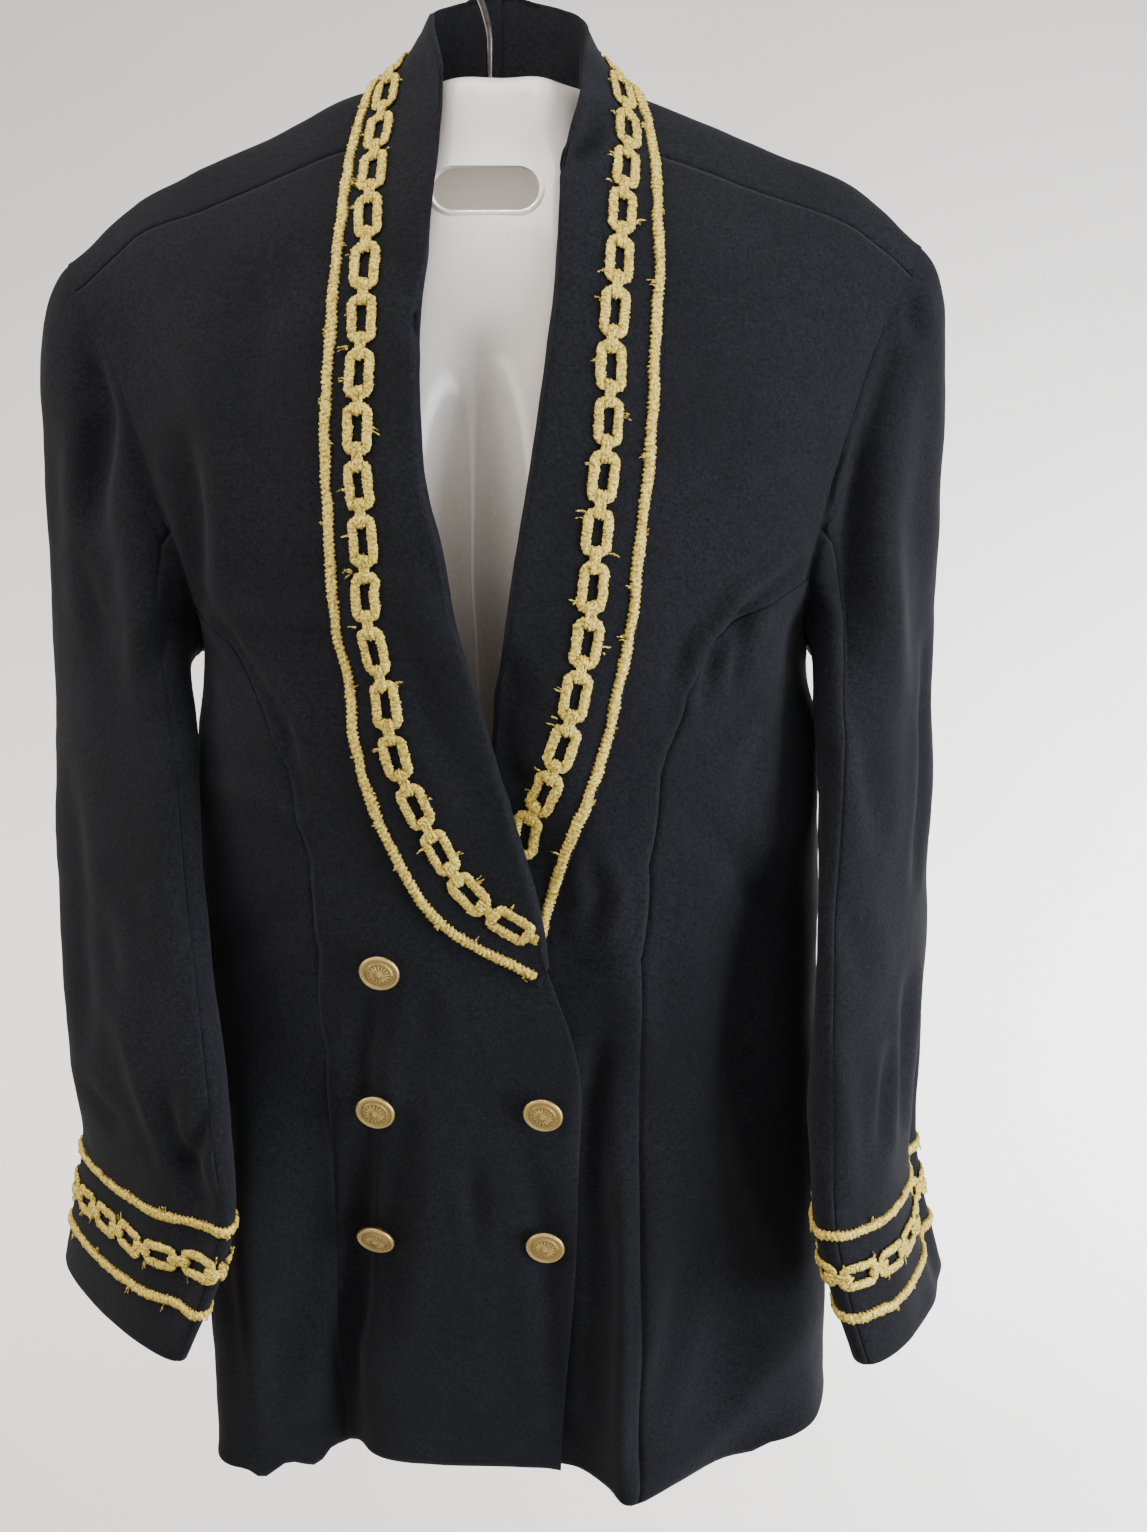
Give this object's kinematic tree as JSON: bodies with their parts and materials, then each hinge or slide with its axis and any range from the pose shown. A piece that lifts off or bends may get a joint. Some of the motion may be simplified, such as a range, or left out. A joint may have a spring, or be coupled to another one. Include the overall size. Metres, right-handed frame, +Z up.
{
  "type": "blazer on a hanging torso form",
  "caption": "Double-breasted shawl-collar blazer in black crepe with gold chain and braid trim, hung with open hem and cuffs on a white hollow torso form with a wire hook.",
  "frame": {"origin": "underside of the hook's crown, where it rests on a rail", "axes": "+Z up, the blazer's front faces -Y, +X is the viewer's right and the wearer's left"},
  "size_m": [0.5217, 0.2237, 0.8458],
  "materials": {
    "crepe": "matte black crepe",
    "gold_yarn": "metallic knitted yarn",
    "gold_metal": "antiqued",
    "white_plastic": "glossy white",
    "steel": "plated wire"
  },
  "bodies": {
    "root": {"back_left": "crepe", "back_right": "crepe", "collar_left": "crepe", "collar_right": "crepe", "front_left": "crepe", "front_right": "crepe", "side_back_left": "crepe", "side_back_right": "crepe", "side_front_left": "crepe", "side_front_right": "crepe", "sleeve_top_left": "crepe", "sleeve_top_right": "crepe", "sleeve_under_left": "crepe", "sleeve_under_right": "crepe", "collar_braid_left": "gold_yarn", "collar_braid_right": "gold_yarn", "collar_chain_left": "gold_yarn", "collar_chain_right": "gold_yarn", "cuff_chain_left": "gold_yarn", "cuff_chain_right": "gold_yarn", "cuff_lower_braid_left": "gold_yarn", "cuff_lower_braid_right": "gold_yarn", "cuff_upper_braid_left": "gold_yarn", "cuff_upper_braid_right": "gold_yarn", "button_1": "gold_metal", "button_2": "gold_metal", "button_3": "gold_metal", "button_4": "gold_metal", "button_5": "gold_metal", "torso_form": "white_plastic", "hook_nut": "steel", "hook_wire": "steel"}
  },
  "joints": []
}
